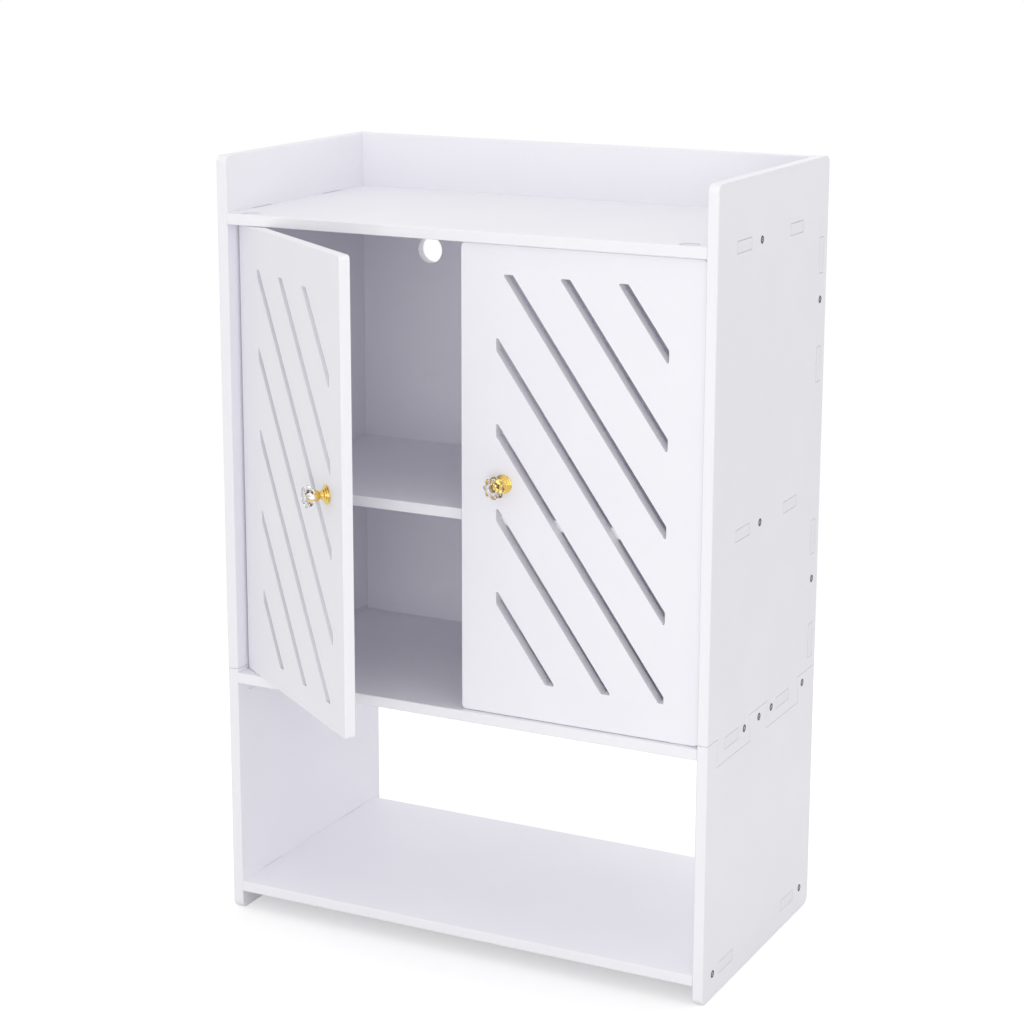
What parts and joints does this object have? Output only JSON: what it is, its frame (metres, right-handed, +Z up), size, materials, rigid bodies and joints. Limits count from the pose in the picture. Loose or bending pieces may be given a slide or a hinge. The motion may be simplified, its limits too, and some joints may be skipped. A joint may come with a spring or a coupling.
{
  "type": "wall-mounted bathroom cabinet",
  "caption": "White board bathroom wall cabinet with a galleried top, slotted swing doors on pivot pins with crystal knobs, an inner shelf and an open lower bay.",
  "frame": {"origin": "midway between the two hang holes, on the rear face of the back panel", "axes": "+X to the viewer's right, +Y towards the wall, +Z up"},
  "size_m": [0.48, 0.3787, 0.712],
  "materials": {
    "foam_board": "smooth satin skin of extruded PVC foam board",
    "bush_plastic": "moulded nylon",
    "screw_steel": "zinc-plated steel",
    "gold_plate": "polished gold-coloured plating",
    "crystal": "clear moulded crystal"
  },
  "bodies": {
    "carcass": {"side_upper_left": "foam_board", "side_lower_left": "foam_board", "side_upper_right": "foam_board", "side_lower_right": "foam_board", "top_board": "foam_board", "middle_shelf": "foam_board", "cabinet_floor": "foam_board", "bottom_shelf": "foam_board", "back_panel": "foam_board", "pivot_bush_top_left": "bush_plastic", "pivot_bush_bottom_left": "bush_plastic", "pivot_bush_top_right": "bush_plastic", "pivot_bush_bottom_right": "bush_plastic", "panel_screws": "screw_steel"},
    "left_door": {"door_left": "foam_board", "pivot_pins_left": "screw_steel", "knob_rosette_left": "gold_plate", "knob_ferrule_left": "gold_plate", "knob_crystal_left": "crystal", "knob_bolt_left": "screw_steel"},
    "right_door": {"door_right": "foam_board", "pivot_pins_right": "screw_steel", "knob_rosette_right": "gold_plate", "knob_ferrule_right": "gold_plate", "knob_crystal_right": "crystal", "knob_bolt_right": "screw_steel"}
  },
  "joints": [
    {"name": "left_door_swing", "type": "hinge", "parent": "carcass", "child": "left_door", "pos_m": [-0.211, -0.24, -0.16], "axis": [0, 0, -1], "range_deg": [-36, 74]},
    {"name": "right_door_swing", "type": "hinge", "parent": "carcass", "child": "right_door", "pos_m": [0.211, -0.24, -0.16], "axis": [0, 0, 1], "range_deg": [0, 110]}
  ]
}
